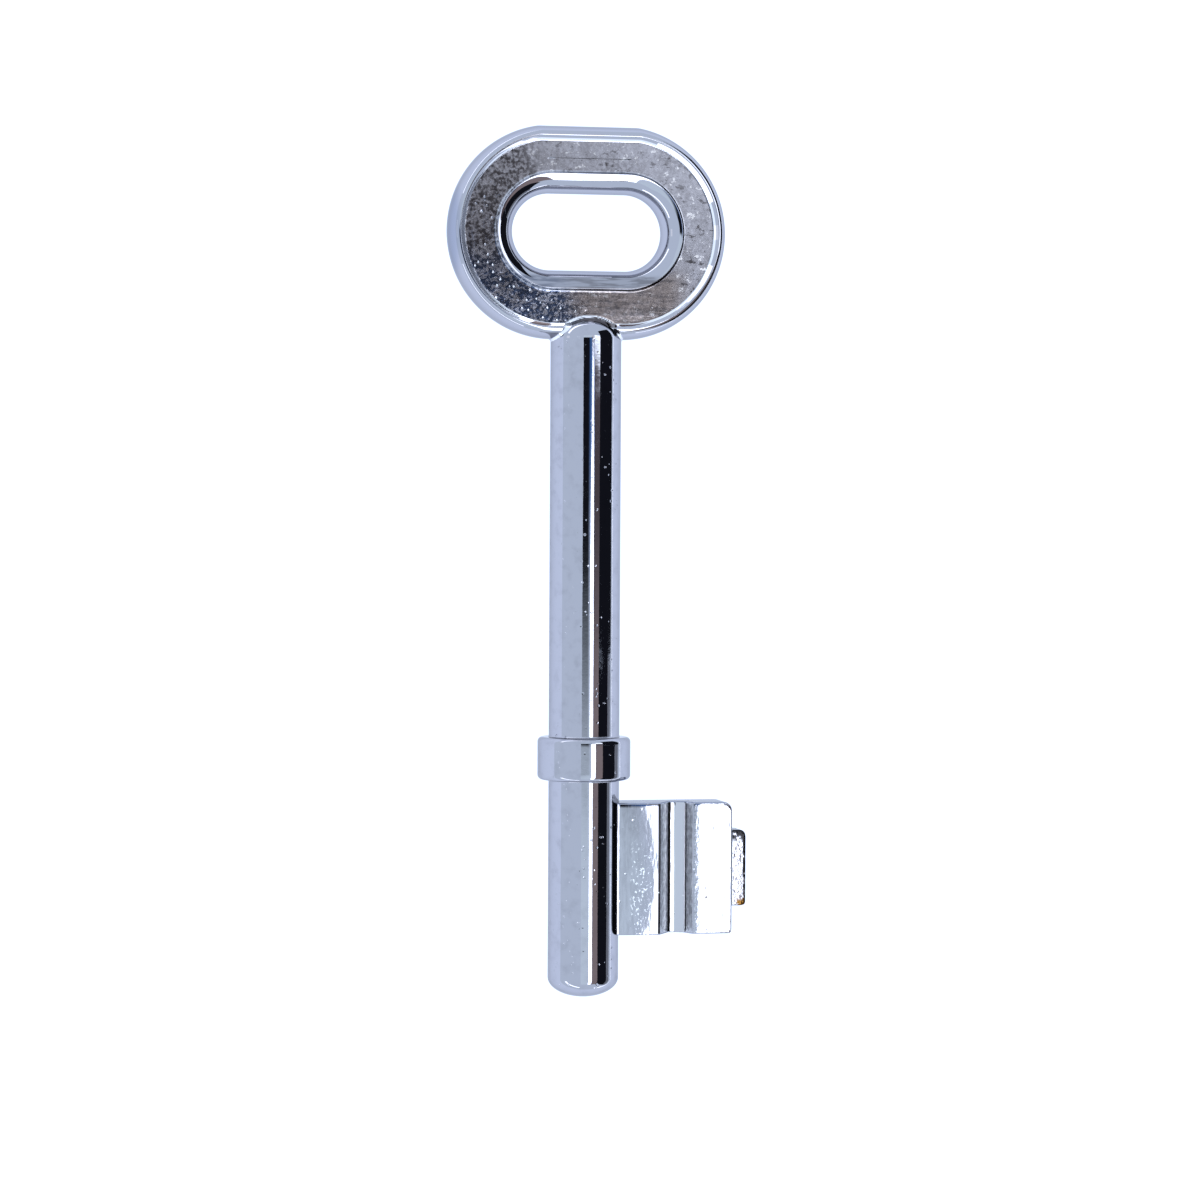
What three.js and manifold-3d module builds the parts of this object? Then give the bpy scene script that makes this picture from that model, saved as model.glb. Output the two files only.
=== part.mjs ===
// Mortise key: an oval bow, a round shank, a collar and a grooved bit.
//
// Units are millimetres. The key lies face up: +Y runs along the shank to the bow,
// +X points from the shank to the bit, and +Z is up, out of the bow's front face.
// Each piece is drawn about the shank's axis, with the tip of the nose at y = 0.
// The finished key is then moved so that its origin is the middle of its underside.

import * as THREE from 'three';
import { mergeVertices } from 'three/addons/utils/BufferGeometryUtils.js';
import Module from 'manifold-3d';

const wasm = await Module();
wasm.setup();

// Clearance that the brazing metal fills wherever one piece enters another
const brazeGap = 0.2;

// Along the key, from the tip of the nose
const keyLength = 80;
const noseToBit = 5.75;
const bitHeight = 12.2;
const bitToCollar = 2.1;
const collarWidth = 3.95;

// Shank, a round bar with a domed nose and a round end that sits in the bow
const shankDiameter = 6.55;
const noseDome = 1.8;
const shankSeatDepth = 2.35;

// Collar, a ring that stops the key in the lock
const collarWall = 0.83;
const collarEdgeRound = 0.45;

// Bow, the oval ring that is held: its section is drawn from the outside to the eye
const bowThickness = 4.1;
const bowEdgeRound = 0.92;
const rimWidth = 0.13;
const rimSlope = 0.3;
const panelWidth = 3.46;
const panelDepth = 0.42;
const beadSlope = 0.46;
const beadRound = 1.05;
const eyeEndRadius = 3.5;
const eyeHalfStraight = 3.49;
const bowHalfStraight = 3.15;
const bowTopFlat = 0.12;

// Bit, a plate with a groove down its face and a thinner step on its far edge.
// The inner land rises from the root to the groove, and the groove's far side has a ramp.
const bitThickness = 3.6;
const innerLand = 3.65;
const landRootDrop = 0.25;
const landRise = 0.45;
const grooveWidth = 3.24;
const grooveNearWall = 1.1;
const grooveFloor = 0.62;
const grooveRampWidth = 0.8;
const grooveRampRise = 0.45;
const grooveWeb = 1.9;
const outerLand = 3.52;
const bitTopRound = 0.85;
const bitBottomRound = 0.3;
const stepReach = 1.45;
const stepHeight = 7.05;
const stepBelowTop = 2.65;
const stepThickness = 2.4;
const stepTopRound = 0.7;
const stepBottomRound = 0.25;

// Tang, the tongue of the bit that is brazed into a slot in the shank
const tangThickness = 2;
const tangDepth = 2;
const tangInset = 1;

// Facets
const roundSegments = 40;
const domeSteps = 8;
const cornerSteps = 4;
const bowArcSteps = 26;
const bowEdgeSteps = 5;

// Worked out from the sizes above
const shankRadius = shankDiameter / 2;
const boreRadius = shankRadius + brazeGap;
const collarRadius = boreRadius + collarWall;
const webWidth = bowEdgeRound + rimWidth + rimSlope + panelWidth + beadSlope + beadRound;
const bowEndRadius = eyeEndRadius + webWidth;
const bowCentreY = keyLength - bowEndRadius + bowTopFlat;
const bowBottomY = bowCentreY - bowEndRadius;
const shankTipY = bowBottomY + shankSeatDepth;
const bitTopY = noseToBit + bitHeight;
const collarNoseY = bitTopY + bitToCollar;
const collarBowY = collarNoseY + collarWidth;
const grooveStartX = shankRadius + innerLand;
const grooveEndX = grooveStartX + grooveWidth;
const bitEdgeX = grooveEndX + outerLand;

// Points of an elliptical arc, from one angle to another, both included
function arc(centreX, centreY, radiusX, radiusY, from, to, steps) {
  const points = [];
  for (let step = 0; step <= steps; step += 1) {
    const angle = from + ((to - from) * step) / steps;
    const x = centreX + radiusX * Math.cos(angle);
    const y = centreY + radiusY * Math.sin(angle);
    points.push(new THREE.Vector2(x, y));
  }
  return points;
}

// A solid of the boolean library from a closed geometry, without its empty triangles
function toSolid(geometry) {
  const bare = geometry.clone();
  bare.deleteAttribute('normal');
  bare.deleteAttribute('uv');
  const merged = mergeVertices(bare, 1e-4);
  const corners = merged.index.array;
  const triangles = [];
  for (let i = 0; i < corners.length; i += 3) {
    const [a, b, c] = corners.slice(i, i + 3);
    if (a !== b && b !== c && c !== a) {
      triangles.push(a, b, c);
    }
  }
  const mesh = new wasm.Mesh({
    numProp: 3,
    vertProperties: Float32Array.from(merged.attributes.position.array),
    triVerts: Uint32Array.from(triangles),
  });
  return new wasm.Manifold(mesh);
}

function toGeometry(solid) {
  const mesh = solid.getMesh();
  const geometry = new THREE.BufferGeometry();
  geometry.setAttribute('position', new THREE.BufferAttribute(mesh.vertProperties, 3));
  geometry.setIndex(new THREE.BufferAttribute(mesh.triVerts, 1));
  geometry.computeVertexNormals();
  return geometry;
}

// A solid turned about the shank's axis from a profile of (radius, y) points.
// Every turned piece starts half a facet round, so that the facets of neighbours match.
function turned(profile) {
  const halfFacet = Math.PI / roundSegments;
  return toSolid(new THREE.LatheGeometry(profile, roundSegments, halfFacet));
}

function block(lowX, highX, lowY, highY, lowZ, highZ) {
  const geometry = new THREE.BoxGeometry(highX - lowX, highY - lowY, highZ - lowZ);
  geometry.translate((lowX + highX) / 2, (lowY + highY) / 2, (lowZ + highZ) / 2);
  return toSolid(geometry);
}

// A plate on both sides of z = 0, whose two corners away from the shank are rounded
function plate(lowX, highX, lowY, highY, thickness, topRound, bottomRound) {
  const outline = [
    new THREE.Vector2(lowX, lowY),
    ...arc(highX - bottomRound, lowY + bottomRound, bottomRound, bottomRound, -Math.PI / 2, 0, cornerSteps),
    ...arc(highX - topRound, highY - topRound, topRound, topRound, 0, Math.PI / 2, cornerSteps),
    new THREE.Vector2(lowX, highY),
  ];
  const shape = new THREE.Shape(outline);
  const geometry = new THREE.ExtrudeGeometry(shape, { depth: thickness, bevelEnabled: false });
  geometry.translate(0, 0, -thickness / 2);
  return toSolid(geometry);
}

// The round bar: a shallow dome at the nose and a half ball in the bow.
// A clearance makes it the tool that cuts the seats of the pieces around it.
function shankBar(clearance) {
  const radius = shankRadius + clearance;
  const ballY = shankTipY - shankRadius;
  return turned([
    ...arc(0, noseDome, radius, noseDome + clearance, -Math.PI / 2, 0, domeSteps),
    ...arc(0, ballY, radius, radius, 0, Math.PI / 2, domeSteps),
  ]);
}

// The tongue that joins the bit to the shank, or the slot for it
function tang(clearance) {
  const halfThickness = tangThickness / 2 + clearance;
  return block(
    shankRadius - tangDepth - clearance,
    shankRadius + innerLand / 2,
    noseToBit + tangInset - clearance,
    bitTopY - tangInset + clearance,
    -halfThickness,
    halfThickness,
  );
}

function shankGeometry() {
  return toGeometry(shankBar(0).subtract(tang(brazeGap)));
}

function collarGeometry() {
  const round = Math.min(collarEdgeRound, collarWall / 2, collarWidth / 2);
  const outer = collarRadius - round;
  const profile = [
    new THREE.Vector2(boreRadius, collarNoseY),
    ...arc(outer, collarNoseY + round, round, round, -Math.PI / 2, 0, cornerSteps),
    ...arc(outer, collarBowY - round, round, round, 0, Math.PI / 2, cornerSteps),
    new THREE.Vector2(boreRadius, collarBowY),
    new THREE.Vector2(boreRadius, collarNoseY),
  ];
  return toGeometry(turned(profile));
}

// The bit's section, as (x, z) points: a rising land, a groove and a level land
function bitSection() {
  const front = bitThickness / 2;
  const grooveBottom = Math.min(grooveWeb - front, front);
  const rampTop = Math.min(grooveBottom + grooveRampRise, front);
  const floorStartX = grooveStartX + Math.min(grooveNearWall, grooveWidth / 3);
  const rampStartX = floorStartX + Math.min(grooveFloor, grooveWidth / 5);
  const rampEndX = rampStartX + Math.min(grooveRampWidth, grooveWidth / 4);
  const rootZ = front - landRootDrop;
  const startX = shankRadius - tangDepth;
  return [
    new THREE.Vector2(startX, -front),
    new THREE.Vector2(bitEdgeX, -front),
    new THREE.Vector2(bitEdgeX, front),
    new THREE.Vector2(grooveEndX, front),
    new THREE.Vector2(rampEndX, rampTop),
    new THREE.Vector2(rampStartX, grooveBottom),
    new THREE.Vector2(floorStartX, grooveBottom),
    new THREE.Vector2(grooveStartX, rootZ + landRise),
    new THREE.Vector2(shankRadius, rootZ),
    new THREE.Vector2(startX, rootZ),
  ];
}

function bitGeometry() {
  const shape = new THREE.Shape(bitSection());
  const bar = new THREE.ExtrudeGeometry(shape, { depth: bitHeight, bevelEnabled: false });
  bar.rotateX(Math.PI / 2);
  bar.translate(0, bitTopY, 0);
  const startX = shankRadius - tangDepth;
  const outline = plate(startX, bitEdgeX, noseToBit, bitTopY, bitThickness * 2, bitTopRound, bitBottomRound);
  const stepTopY = bitTopY - stepBelowTop;
  const step = plate(
    grooveEndX + outerLand / 2,
    bitEdgeX + stepReach,
    stepTopY - stepHeight,
    stepTopY,
    stepThickness,
    stepTopRound,
    stepBottomRound,
  );
  const body = toSolid(bar).intersect(outline).add(step);
  return toGeometry(body.subtract(shankBar(brazeGap)).add(tang(0)));
}

// One closed outline of the bow, a flattened oval at the height z.
// The depth is how far the outline lies inside the bow's outer edge.
function bowOutline(depth, z) {
  const endRadius = bowEndRadius - depth;
  const share = depth / webWidth;
  const halfStraight = bowHalfStraight + (eyeHalfStraight - bowHalfStraight) * share;
  const onPanel = depth > bowEdgeRound + rimWidth + rimSlope + panelWidth / 2;
  const flatY = onPanel ? endRadius : endRadius - bowTopFlat;
  const right = arc(halfStraight, 0, endRadius, endRadius, -Math.PI / 2, Math.PI / 2, bowArcSteps);
  const left = arc(-halfStraight, 0, endRadius, endRadius, Math.PI / 2, (Math.PI * 3) / 2, bowArcSteps);
  return [...right, ...left].map((point) => {
    const y = Math.min(point.y, flatY);
    return new THREE.Vector3(point.x, bowCentreY + y, z);
  });
}

// Half of the bow's section, as (depth, z) points from the outer edge to the eye
function bowHalfSection() {
  const top = bowThickness / 2;
  const panelZ = Math.max(top - panelDepth, 0);
  const rimStart = bowEdgeRound + rimWidth;
  const panelStart = rimStart + rimSlope;
  const beadStart = panelStart + panelWidth;
  const beadCrest = beadStart + beadSlope;
  return [
    ...arc(bowEdgeRound, 0, bowEdgeRound, top, Math.PI, Math.PI / 2, bowEdgeSteps),
    new THREE.Vector2(rimStart, top),
    new THREE.Vector2(panelStart, panelZ),
    new THREE.Vector2(beadStart, panelZ),
    ...arc(beadCrest, 0, beadRound, top, Math.PI / 2, 0, bowEdgeSteps),
  ];
}

// The bow before its seat is cut: rings of outlines joined into one closed skin
function bowRing() {
  const front = bowHalfSection();
  const back = front.slice(1, -1).reverse();
  const section = [...front, ...back.map((point) => new THREE.Vector2(point.x, -point.y))];
  const rings = section.map((point) => bowOutline(point.x, point.y));
  const ringLength = rings[0].length;
  const positions = rings.flat().flatMap((point) => [point.x, point.y, point.z]);
  const corners = [];
  for (let ring = 0; ring < rings.length; ring += 1) {
    const nextRing = (ring + 1) % rings.length;
    for (let i = 0; i < ringLength; i += 1) {
      const nextI = (i + 1) % ringLength;
      const a = ring * ringLength + i;
      const b = ring * ringLength + nextI;
      const c = nextRing * ringLength + nextI;
      const d = nextRing * ringLength + i;
      corners.push(a, b, c, a, c, d);
    }
  }
  const geometry = new THREE.BufferGeometry();
  geometry.setAttribute('position', new THREE.Float32BufferAttribute(positions, 3));
  geometry.setIndex(corners);
  return toSolid(geometry);
}

function bowGeometry() {
  return toGeometry(bowRing().subtract(shankBar(brazeGap)));
}

// Chromium plate over die-cast zinc, a little more worn on the bow
const plateColour = 0xc3c9d4;

function piece(name, geometry, roughness) {
  const material = new THREE.MeshStandardMaterial({ color: plateColour, metalness: 1, roughness });
  const mesh = new THREE.Mesh(geometry, material);
  mesh.name = name;
  return mesh;
}

const key = new THREE.Group();
key.add(
  piece('bow', bowGeometry(), 0.2),
  piece('shank', shankGeometry(), 0.08),
  piece('collar', collarGeometry(), 0.08),
  piece('bit', bitGeometry(), 0.14),
);

// The origin is the middle of the underside of the whole key
const extent = new THREE.Box3().setFromObject(key);
const middle = extent.getCenter(new THREE.Vector3());
key.position.set(-middle.x, -middle.y, -extent.min.z);

export default key;
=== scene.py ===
"""Mortise key: an oval bow, a round shank, a collar and a grooved bit, all in bright chrome.

The script loads the packed model of the key as a fixed frame, dresses each of its pieces with a
finer mesh in the same place, and adds a pale stage, studio cards and a camera above the key.
Lengths are in metres. +Y runs along the shank to the bow, +X points to the bit and +Z is up.
"""

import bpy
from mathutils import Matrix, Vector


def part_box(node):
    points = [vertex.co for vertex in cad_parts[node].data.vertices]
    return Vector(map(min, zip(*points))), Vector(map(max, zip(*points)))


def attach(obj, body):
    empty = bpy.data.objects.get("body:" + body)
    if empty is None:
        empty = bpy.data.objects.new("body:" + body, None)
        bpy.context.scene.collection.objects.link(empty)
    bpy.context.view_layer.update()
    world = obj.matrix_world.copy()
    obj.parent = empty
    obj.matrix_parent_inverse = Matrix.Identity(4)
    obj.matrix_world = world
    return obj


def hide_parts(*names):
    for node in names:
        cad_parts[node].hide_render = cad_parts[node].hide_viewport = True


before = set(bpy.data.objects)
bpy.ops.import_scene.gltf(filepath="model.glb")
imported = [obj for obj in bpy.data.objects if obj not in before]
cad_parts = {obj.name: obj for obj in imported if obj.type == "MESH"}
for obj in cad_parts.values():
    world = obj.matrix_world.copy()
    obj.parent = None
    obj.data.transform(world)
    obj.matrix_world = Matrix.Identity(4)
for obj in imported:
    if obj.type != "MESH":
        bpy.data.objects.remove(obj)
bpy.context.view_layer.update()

import math

import bpy
import numpy as np
from bpy.props import FloatProperty, FloatVectorProperty, PointerProperty
from mathutils import Matrix, Vector

bl_info = {
    "name": "Mortise Key",
    "version": (1, 0, 0),
    "blender": (4, 5, 0),
    "location": "3D View > Sidebar > Key",
    "description": "Dresses a packed mortise key in chrome and sets up its studio",
    "category": "Object",
}

MM = 0.001
BLACK = (0.0, 0.0, 0.0)
WHITE = (1.0, 1.0, 1.0)

# Where the packed pieces lie
BOW_LOW, BOW_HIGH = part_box("bow")
SHANK_LOW, SHANK_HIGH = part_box("shank")
COLLAR_LOW, COLLAR_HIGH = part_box("collar")
BIT_LOW, BIT_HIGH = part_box("bit")
AXIS_X = (SHANK_LOW.x + SHANK_HIGH.x) / 2
AXIS_Z = (SHANK_LOW.z + SHANK_HIGH.z) / 2
SHANK_RADIUS = (SHANK_HIGH.x - SHANK_LOW.x) / 2
COLLAR_RADIUS = (COLLAR_HIGH.z - COLLAR_LOW.z) / 2
BOW_HALF_THICKNESS = (BOW_HIGH.z - BOW_LOW.z) / 2
BIT_HALF_THICKNESS = AXIS_Z - BIT_LOW.z


def length(name, description, millimetres):
    """A length property. Its default is given in millimetres."""
    return FloatProperty(
        name=name, description=description, default=millimetres * MM, unit="LENGTH",
        subtype="DISTANCE", precision=5,
    )


def angle(name, description, degrees):
    """An angle property. Its default is given in degrees."""
    return FloatProperty(
        name=name, description=description, default=math.radians(degrees), unit="ROTATION",
        subtype="ANGLE",
    )


def tint(name, description, default):
    """A colour property. Lights may be brighter than 1."""
    return FloatVectorProperty(
        name=name, description=description, default=default, subtype="COLOR", size=3, min=0, max=20
    )


class BowShape(bpy.types.PropertyGroup):
    """Sizes of the oval bow."""

    end_radius: length("End radius", "Radius of the round ends outside", 9.82)
    half_straight: length("Half straight", "Half of the straight stretch between them", 3.15)
    top_flat: length("Top flat", "How much the top is cut flat", 0.12)
    web: length("Web", "Width of metal from the outside to the eye", 6.32)
    eye_half_straight: length("Eye straight", "Half of the eye's straight stretch", 3.49)
    edge_round: length("Edge round", "Width of the rounded outer wall", 0.92)
    rim_width: length("Rim width", "Width of the rim's crest", 0.08)
    rim_slope: length("Rim slope", "Width of the step down to the panel", 0.44)
    panel_depth: length("Panel depth", "How far the panel lies below the rim", 0.4)
    bead_slope: length("Bead slope", "Width of the bead's outer side", 0.18)
    bead_flat: length("Bead flat", "Width of the bead's level crest", 0.05)
    bead_round: length("Bead round", "Width of the bead's inner side", 1.7)
    bead_lean: angle("Bead lean", "How steeply the inner side starts", 6.0)
    corner_reach: length("Corner reach", "How far the corners of the section are rounded", 0.07)
    joint_fillet: length("Joint fillet", "Radius where the shank joins the bow", 0.24)


class ShankShape(bpy.types.PropertyGroup):
    """Sizes of the round shank and its collar."""

    radius: length("Radius", "Radius of the round bar", SHANK_RADIUS / MM)
    nose_dome: length("Nose dome", "Height of the dome on the nose", 1.8)
    bow_dome: length("Bow dome", "Height of the dome on the other end, in the bow", 2.3)
    collar_radius: length("Collar radius", "Outer radius of the collar", COLLAR_RADIUS / MM)
    collar_round: length("Collar round", "Radius of the collar's edges", 0.45)
    collar_fillet: length("Collar fillet", "Radius between collar and shank", 0.12)


class BitShape(bpy.types.PropertyGroup):
    """Sizes of the bit, the plate that works the lock."""

    half_thickness: length("Half thickness", "Half of the plate's thickness", BIT_HALF_THICKNESS / MM)
    root_drop: length("Root drop", "How far the inner land lies lower at the shank", 0.1)
    root_tilt: angle("Root tilt", "How steeply the inner land rises at the shank", 9.5)
    groove_tilt: angle("Groove tilt", "How steeply the inner land rises at the groove", 2.8)
    end_twist: angle("End twist", "How much less it rises at the bit's two ends", 2.0)
    groove_start: length("Groove start", "From the shank's axis to the groove", 6.8)
    near_wall: length("Near wall", "Width of the groove's wall near the shank", 1.25)
    groove_floor: length("Groove floor", "Width of the groove's floor", 0.6)
    ramp_width: length("Ramp width", "Width of the ramp beyond the groove's floor", 0.84)
    ramp_rise: length("Ramp rise", "Height of that ramp", 0.46)
    far_wall: length("Far wall", "Width of the groove's wall beyond the ramp", 0.5)
    groove_depth: length("Groove depth", "Depth of the groove", 1.7)
    outer_land: length("Outer land", "Width of the land outside the groove", 3.69)
    worn_width: length("Worn width", "Width of that land's worn side, along the groove", 1.25)
    worn_drop: length("Worn drop", "How much lower its worn side lies", 0.09)
    top_round: length("Top corner", "Radius of the corner towards the bow", 0.85)
    bottom_round: length("Bottom corner", "Radius of the corner towards the nose", 0.3)
    step_height: length("Step height", "Length of the step along the key", 7.05)
    step_below_top: length("Step offset", "From the bit's top to the step", 2.65)
    step_half_thickness: length("Step thickness", "Half of the step's thickness", 1.2)
    step_round: length("Step corner", "Radius of the step's corners", 0.6)
    edge_round: length("Edge round", "Radius of all edges", 0.14)
    root_fillet: length("Root fillet", "Radius where the bit joins the shank", 0.08)
    root_hollow: length("Root hollow", "Radius of the hollow beside that fillet", 1.5)


class ChromeLook(bpy.types.PropertyGroup):
    """Colours of the chromium plate."""

    plate: tint("Plate", "Reflected colour of smooth chrome", (0.42, 0.42, 0.455))
    # Real stains; the same colour also paints shade on the panel's left side and, darker, in the bit's
    # creases and on its step
    stain_and_shade: tint("Stain", "Reflected colour of the stains on the bow's panel", (0.09, 0.085, 0.09))
    # Painted bluish shade low on the panel's left side
    blue_shade: tint("Blue stain", "Stains low on the panel's left side", (0.045, 0.06, 0.1))
    # Painted brown reflection on the web below the eye
    painted_brown_reflection: tint("Brown plate", "Worn plate on the web below the eye", (0.37, 0.32, 0.3))
    # Painted bluish shade on the bow's left wall and on the bit's top wall
    blue_wall_shade: tint("Blue plate", "Plate on the bow's left wall and the bit's top", (0.315, 0.335, 0.4))
    # Painted highlight: base colour raised towards white on the steps beside the panel and round the
    # shank's end
    bright: tint("Bright", "Plate polished on the steps beside the panel", (0.95, 0.95, 0.97))
    scale: tint("Scale", "Reflected colour of the rough groove", (0.95, 0.97, 1.0))
    ramp: tint("Ramp", "Reflected colour of the smooth ramp in the groove", (0.52, 0.52, 0.53))
    # Painted warm reflection on the step's lower end
    painted_warm_reflection: tint("Gold", "Warm tarnish on the step's lower end", (0.12, 0.06, 0.014))


class StudioLook(bpy.types.PropertyGroup):
    """Brightness and colours of what the chrome reflects."""

    room: tint("Room", "Light of the pale room", (0.93, 1.07, 1.3))
    floor: tint("Floor", "Light of the pale floor", (1.0, 1.13, 1.43))
    paper: tint("Paper", "Colour of the pale floor in that light", (0.12, 0.12, 0.12))
    strip: tint("Strip", "Light of the overhead strip", (5.0, 5.4, 6.2))
    glow: tint("Glow", "Light beside the strip, towards the nose", (1.0, 1.15, 1.4))
    dim_glow: tint("Dim glow", "Light beside the strip, towards the bow", (0.12, 0.3, 0.75))
    haze: tint("Haze", "Pale light overhead, towards the nose", (1.04, 1.22, 1.42))
    window: tint("Window", "Bright area to the right above the bow", (2.7, 2.95, 3.4))
    horizon: tint("Horizon", "Light of the bright band low around the key", (3.0, 3.2, 3.7))
    side: tint("Side", "Light of the small lamp beside the bow", (1.3, 1.4, 1.6))
    shade: tint("Shade", "The dark cards", (0.012, 0.013, 0.02))
    dim: tint("Dim", "The lower edge of the dark card, towards the nose", (0.3, 0.33, 0.4))
    brown: tint("Brown", "Brown light beside the strip, towards the bow", (0.13, 0.105, 0.12))
    pale_brown: tint("Pale brown", "Brown light beside the strip, towards the nose", (0.4, 0.33, 0.34))
    warm: tint("Warm", "Dark warm light that the bow's left side sees", (0.21, 0.19, 0.19))
    cool: tint("Cool", "Paler light that the bow's right side sees", (1.05, 1.12, 1.28))


PROPERTY_GROUPS = {
    "key_bow": BowShape,
    "key_shank": ShankShape,
    "key_bit": BitShape,
    "key_chrome": ChromeLook,
    "key_studio": StudioLook,
}


def settings(name):
    """One of the property groups above, on the scene."""
    return getattr(bpy.context.scene, name)


class Value:
    """A value socket of a material that can be used in Python expressions."""

    def __init__(self, tree, socket):
        self.tree = tree
        self.socket = socket

    def math(self, operation, other=0.0):
        return node(self.tree, "ShaderNodeMath", {"operation": operation}, [self, other])

    def __add__(self, other):
        return self.math("ADD", other)

    __radd__ = __add__

    def __sub__(self, other):
        return self.math("SUBTRACT", other)

    def __rsub__(self, other):
        return (self * -1.0) + other

    def __mul__(self, other):
        return self.math("MULTIPLY", other)

    __rmul__ = __mul__

    def above(self, low, high, start=0.0):
        """0 below low and 1 above high, both from the start, with a smooth rise between."""
        return node(
            self.tree, "ShaderNodeMapRange", {"interpolation_type": "SMOOTHSTEP"},
            {"Value": self, "From Min": start + low, "From Max": start + high},
        )

    def below(self, low, high, start=0.0):
        """1 below low and 0 above high."""
        return 1 - self.above(low, high, start)


def node(tree, kind, options=None, inputs=None, output=0):
    """Adds a shader node: its settings first, then its sockets by place or name."""
    made = tree.nodes.new(kind)
    for name, value in (options or {}).items():
        setattr(made, name, value)
    pairs = enumerate(inputs) if isinstance(inputs, list) else (inputs or {}).items()
    for socket, value in pairs:
        if isinstance(value, Value):
            tree.links.new(value.socket, made.inputs[socket])
        else:
            made.inputs[socket].default_value = value
    return Value(tree, made.outputs[output])


def mix_colours(factor, first, second):
    """A colour between two colours, by a factor from 0 to 1."""
    ends = [end if isinstance(end, Value) else (*end, 1.0) for end in (first, second)]
    sockets = {0: factor, 6: ends[0], 7: ends[1]}
    return node(factor.tree, "ShaderNodeMix", {"data_type": "RGBA"}, sockets, output=2)


def place(where, axis):
    """One coordinate, in metres: 0 for x, 1 for y and 2 for z."""
    return node(where.tree, "ShaderNodeSeparateXYZ", {}, {"Vector": where}, output=axis)


def stretched(where, amounts):
    """Coordinates scaled along the three axes."""
    return node(where.tree, "ShaderNodeVectorMath", {"operation": "MULTIPLY"}, [where, amounts])


def painted(where, name):
    """A mask that is stored on the points of the mesh."""
    return node(where.tree, "ShaderNodeAttribute", {"attribute_name": name}, output=2)


# Noise patterns: scale, detail and roughness, and how the pattern is stretched, if it is
PATTERNS = {
    "ripples": (420, 2, 0.5, (1, 0.35, 1)),
    "grain": (2600, 3, 0.6),
    "haze": (900, 4, 0.5),
    "seam dashes": (900, 4, 0.7, (0, 1, 0)),
    "pit patches": (260, 2, 0.5),
    "bow casting": (420, 2, 0.5),
    "bow fine": (3000, 4, 0.65),
    "bow coarse": (650, 3, 0.6),
    "bow wear": (190, 1, 0.5),
    "bow streaks": (2800, 3, 0.6, (0.12, 1, 1)),
    "bow swirls": (480, 3, 0.6, (1, 0.6, 1)),
    "bow cracks": (1150, 5, 0.7, (1, 1.4, 1)),
    "speck patches": (500, 2, 0.5),
    "bit marks": (2600, 3, 0.6, (1, 0.16, 1)),
    "bit waves": (520, 3, 0.6, (1, 0.4, 1)),
    "bit grit": (2100, 3, 0.6),
    "flecks": (5000, 2, 0.6, (1, 0.6, 1)),
    "fleck patches": (1100, 2, 0.5),
    "strip wobble": (330, 3, 0.5, (0, 1, 0)),
    "strip grain": (620, 2, 0.5),
}

# Round spots: scale and radius
PLATE_PITS = (1500.0, 0.19)
PANEL_SPECKS = (1500.0, 0.2)
BIT_PITS = (1100.0, 0.15)
SPOT_MIDDLE = 0.4

# Bumps: height in millimetres, and strength
BUMPS = {
    "ripples": (0.03, 0.35),
    "grain": (0.004, 0.35),
    "pits": (0.03, 0.9),
    "bow casting": (0.03, 0.3),
    "bow swirls": (0.04, 0.4),
    "bow fine": (0.007, 0.5),
    "bow streaks": (0.003, 0.5),
    "bow specks": (0.03, 1.0),
    "bit waves": (0.05, 0.5),
    "bit marks": (0.008, 0.6),
    "bit grit": (0.07, 0.8),
    "bit pits": (0.03, 0.8),
}


def noise(where, name):
    """One of the patterns above, from 0 to 1."""
    scale, detail, roughness, *amounts = PATTERNS[name]
    if amounts:
        where = stretched(where, amounts[0])
    return node(
        where.tree, "ShaderNodeTexNoise", {"noise_dimensions": "3D"},
        {"Vector": where, "Scale": scale, "Detail": detail, "Roughness": roughness},
    )


def spots(where, scale, radius):
    """Small round spots, 1 in their middle."""
    distance = node(
        where.tree, "ShaderNodeTexVoronoi", {"feature": "F1"},
        {"Vector": where, "Scale": scale, "Randomness": 1.0},
    )
    return distance.below(radius * SPOT_MIDDLE, radius)


def bumped(height, name, normal=None, factor=1.0):
    """The normal with one of the bumps above added to it."""
    distance, strength = BUMPS[name]
    sockets = {"Height": height, "Distance": distance * MM, "Strength": strength * factor}
    if normal is not None:
        sockets["Normal"] = normal
    return node(height.tree, "ShaderNodeBump", {}, sockets)


def new_surface(name):
    """A material and its shader."""
    material = bpy.data.materials.new(name)
    material.use_nodes = True
    return material, material.node_tree.nodes["Principled BSDF"]


def new_metal(name, edge_tint=0.62):
    """A metal. The tint keeps its edges, seen at a glance, from turning white."""
    material, shader = new_surface(name)
    shader.inputs["Metallic"].default_value = 1.0
    shader.inputs["Specular Tint"].default_value = (*(edge_tint,) * 3, 1.0)
    return material, shader, node(material.node_tree, "ShaderNodeTexCoord", output=3)


def feed(shader, socket, value):
    value.tree.links.new(value.socket, shader.inputs[socket])


def darker(colour, share):
    return tuple(channel * share for channel in colour)


# Where the parting line's soft edge lies, from its middle
SEAM = (0.03 * MM, 0.06 * MM)
DULL_PLATE = 0.86


def smooth_chrome(name, ripple=1.0):
    """Bright plate: slow ripples from the casting, fine pits and a little haze."""
    material, shader, where = new_metal(name)
    look = settings("key_chrome")
    pits = spots(where, *PLATE_PITS) * noise(where, "pit patches").above(0.44, 0.6)
    haze = noise(where, "haze").above(0.45, 0.8)
    slow = bumped(noise(where, "ripples"), "ripples", factor=ripple)
    fine = bumped(noise(where, "grain"), "grain", slow)
    feed(shader, "Normal", bumped(pits * -1.0, "pits", fine))
    feed(shader, "Roughness", haze * 0.05 + 0.035)
    from_seam = (place(where, 2) - AXIS_Z).math("ABSOLUTE")
    seam = from_seam.below(*SEAM) * noise(where, "seam dashes").above(0.5, 0.56)
    plate = mix_colours(haze, look.plate, darker(look.plate, DULL_PLATE))
    feed(shader, "Base Color", mix_colours(seam, plate, look.stain_and_shade))
    return material
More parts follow.
